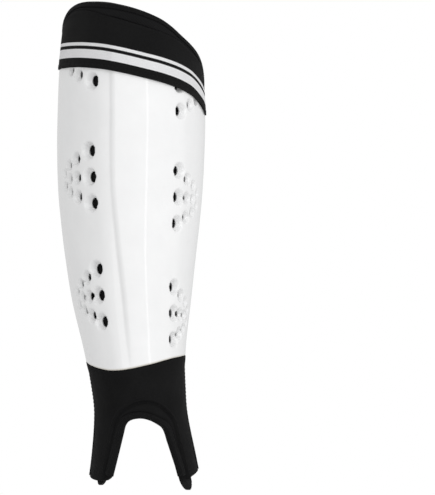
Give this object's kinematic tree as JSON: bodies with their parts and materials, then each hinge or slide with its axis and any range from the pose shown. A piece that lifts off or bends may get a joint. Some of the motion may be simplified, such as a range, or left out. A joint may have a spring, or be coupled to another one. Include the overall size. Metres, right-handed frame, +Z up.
{
  "type": "field hockey shin guard",
  "caption": "Vented hard-shell shin guard for field hockey, with a stretch cuff band, a foam liner, and a soft ankle sock whose two stirrup legs stand astride the foot.",
  "frame": {"origin": "on the liner's inner face, on the shin line, halfway up the shell", "axes": "+Z up the shin as worn, -Y the way that the front of the guard faces, -X the outer side of the leg"},
  "size_m": [0.1233, 0.0959, 0.4008],
  "materials": {
    "shell_plastic": "gloss moulded",
    "stretch_knit": "fine stretch knit",
    "foam_fabric": "knit-faced foam",
    "binding_tape": "woven tape",
    "neoprene": "jersey-faced neoprene",
    "elastic_webbing": "ribbed elastic"
  },
  "bodies": {
    "root": {"shell": "shell_plastic", "cuff_band": "stretch_knit", "liner": "foam_fabric", "collar_tape": "binding_tape", "ankle_sock": "neoprene", "arch_tape": "binding_tape", "rear_tape_left": "binding_tape", "rear_tape_right": "binding_tape", "strap_tab_left": "elastic_webbing", "strap_tab_right": "elastic_webbing"}
  },
  "joints": []
}
